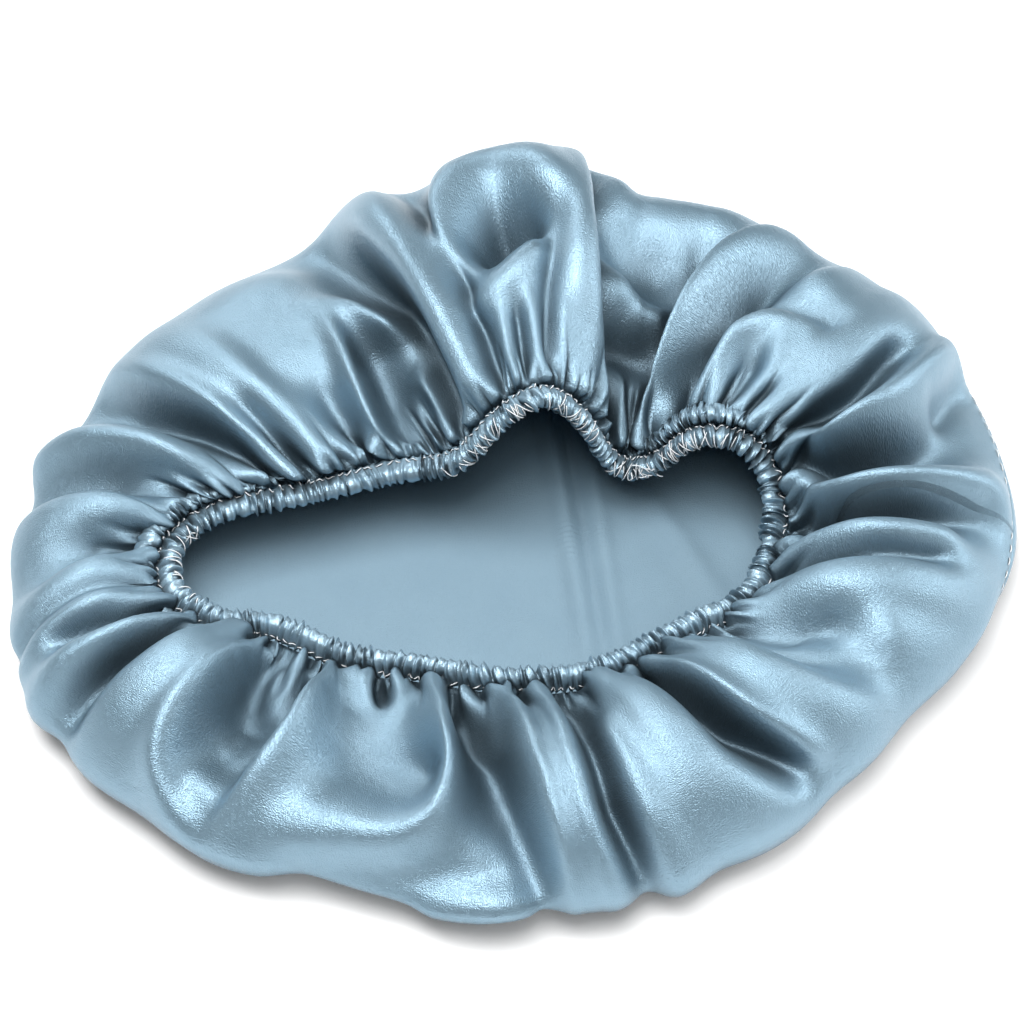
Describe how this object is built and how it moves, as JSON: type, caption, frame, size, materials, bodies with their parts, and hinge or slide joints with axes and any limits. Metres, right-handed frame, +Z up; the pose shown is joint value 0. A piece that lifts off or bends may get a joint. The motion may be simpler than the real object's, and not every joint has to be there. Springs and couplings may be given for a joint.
{
  "type": "sleep bonnet",
  "caption": "Soft satin sleep bonnet with a gathered skirt and an elasticated opening, lying on its crown with the opening up.",
  "frame": {"origin": "on the table, under the middle of the bonnet's outline", "axes": "+Z up out of the opening, +Y away from the front edge, +X to the right"},
  "size_m": [0.3206, 0.3006, 0.0816],
  "materials": {
    "satin_crown": "steel-blue satin, matt reverse inside",
    "satin_skirt": "steel-blue satin, glossy face outside",
    "satin_casing": "steel-blue satin, ruched",
    "elastic": "white woven elastic and pale thread"
  },
  "bodies": {
    "root": {"crown_panel": "satin_crown", "skirt_panel": "satin_skirt", "elastic_casing": "satin_casing", "elastic_band": "elastic"}
  },
  "joints": []
}
